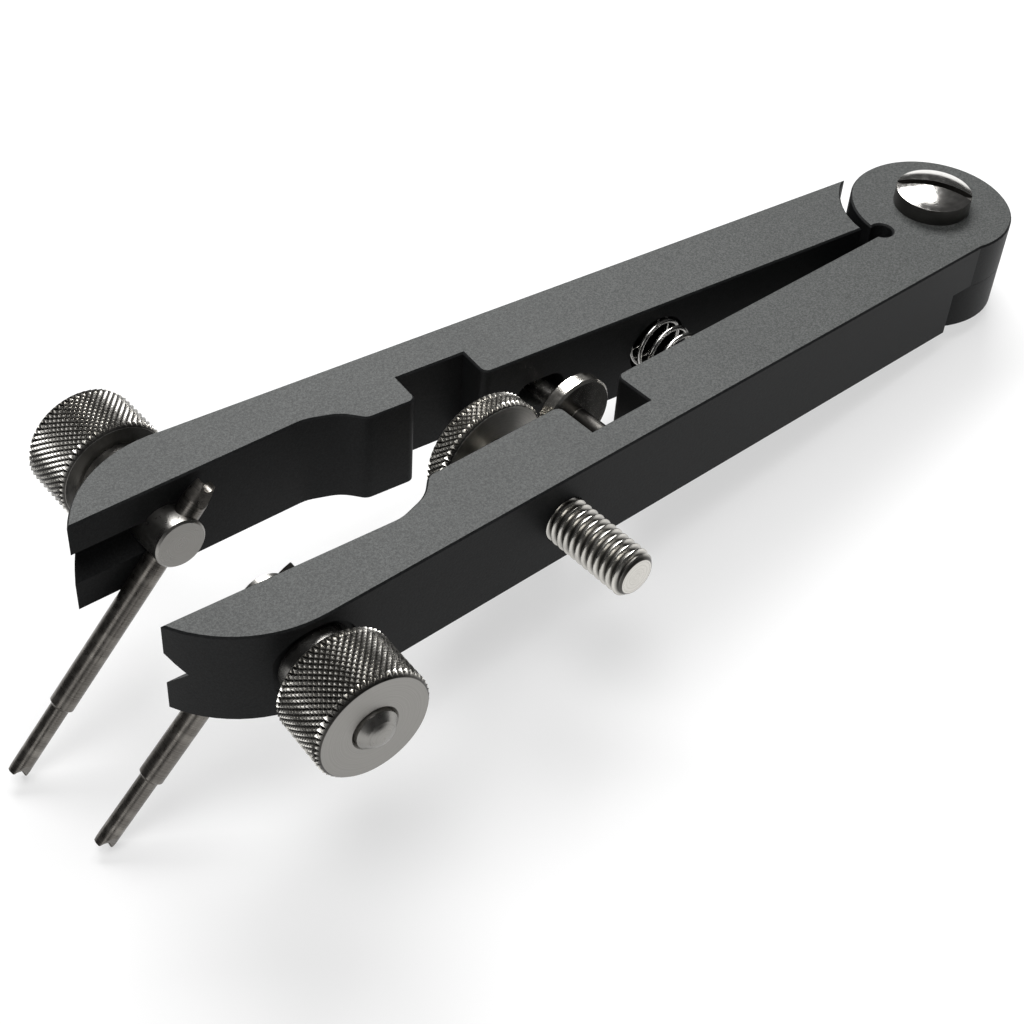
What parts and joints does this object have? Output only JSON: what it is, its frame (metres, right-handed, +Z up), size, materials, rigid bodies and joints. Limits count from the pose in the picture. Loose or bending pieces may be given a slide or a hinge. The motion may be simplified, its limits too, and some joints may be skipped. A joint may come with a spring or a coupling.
{
  "type": "spring bar pliers",
  "caption": "Sprung hand pliers with adjustable forked tips for compressing the spring bars of a watch bracelet, with knurled clamp nuts and a screw stop.",
  "frame": {"origin": "middle of the footprint, on the surface the tool stands on", "axes": "+X from the forked jaws to the pivot at the heel, +Y from the near arm to the far arm, +Z up; the tool stands on its two fork tips and the rim of its heel, so the pivot axis leans 7.21 degrees from +Z towards +X"},
  "size_m": [0.1516, 0.0596, 0.0311],
  "materials": {
    "anodised": "black hard-anodised aluminium, fine matt blast on the broad faces",
    "polished": "polished stainless steel",
    "plated": "bright nickel-plated steel",
    "satin_steel": "satin turned steel",
    "tool_steel": "hardened tool steel, dark grey",
    "spring_wire": "bright drawn spring wire"
  },
  "bodies": {
    "near_side": {"near_arm": "anodised", "clamp_collar_near": "satin_steel", "limit_screw": "plated", "return_spring": "spring_wire"},
    "far_side": {"far_arm": "anodised", "clamp_collar_far": "satin_steel", "pivot_screw": "polished"},
    "stop_screw": {"adjusting_screw": "plated"},
    "stop_wheel": {"adjusting_wheel": "plated"},
    "limit_nut": {"limit_disc": "polished"},
    "clamp_near": {"clamp_stud_near": "satin_steel"},
    "clamp_far": {"clamp_stud_far": "satin_steel"},
    "rod_near": {"fork_near": "tool_steel"},
    "rod_far": {"fork_far": "tool_steel"},
    "nut_near": {"clamp_nut_near": "plated"},
    "nut_far": {"clamp_nut_far": "plated"}
  },
  "joints": [
    {"name": "arm_hinge", "type": "hinge", "parent": "near_side", "child": "far_side", "pos_m": [0.06413, 0.00004, 0.00896], "axis": [0.1256, 0, 0.9921], "range_deg": [0, 2.95], "stiffness_Nm_per_rad": 3, "springref_deg": -2.86, "deforming": ["return_spring"]},
    {"name": "stop_travel", "type": "slide", "parent": "near_side", "child": "stop_screw", "axis": [0.0595, -0.9982, -0.0075], "range_m": [-0.0034, 0.0022]},
    {"name": "wheel_spin", "type": "hinge", "parent": "stop_screw", "child": "stop_wheel", "pos_m": [-0.01264, -0.00101, 0.01868], "axis": [0.0595, -0.9982, -0.0075], "range_deg": [-1224.5, 792.5]},
    {"name": "disc_spin", "type": "hinge", "parent": "near_side", "child": "limit_nut", "pos_m": [0.00078, -0.001, 0.01698], "axis": [0.0595, -0.9982, -0.0075], "continuous": true},
    {"name": "clamp_swing_near", "type": "hinge", "parent": "near_side", "child": "clamp_near", "pos_m": [-0.04643, -0.0093, 0.02296], "axis": [-0.0232, -0.9997, 0.0029], "range_deg": [-48, 42]},
    {"name": "fork_slide_near", "type": "slide", "parent": "clamp_near", "child": "rod_near", "axis": [-0.757, 0.0156, -0.6533], "range_m": [-0.003, 0.003]},
    {"name": "nut_spin_near", "type": "hinge", "parent": "near_side", "child": "nut_near", "pos_m": [-0.04678, -0.02429, 0.023], "axis": [-0.0232, -0.9997, 0.0029], "continuous": true},
    {"name": "clamp_swing_far", "type": "hinge", "parent": "far_side", "child": "clamp_far", "pos_m": [-0.04952, 0.0093, 0.02335], "axis": [0.0232, -0.9997, -0.0029], "range_deg": [-48, 42]},
    {"name": "fork_slide_far", "type": "slide", "parent": "clamp_far", "child": "rod_far", "axis": [-0.757, -0.0156, -0.6533], "range_m": [-0.003, 0.003]},
    {"name": "nut_spin_far", "type": "hinge", "parent": "far_side", "child": "nut_far", "pos_m": [-0.04986, 0.02429, 0.02339], "axis": [-0.0232, 0.9997, 0.0029], "continuous": true}
  ],
  "couplings": [
    {"joint": "wheel_spin", "follows": "stop_travel", "rad_per_m": 6283.2}
  ]
}
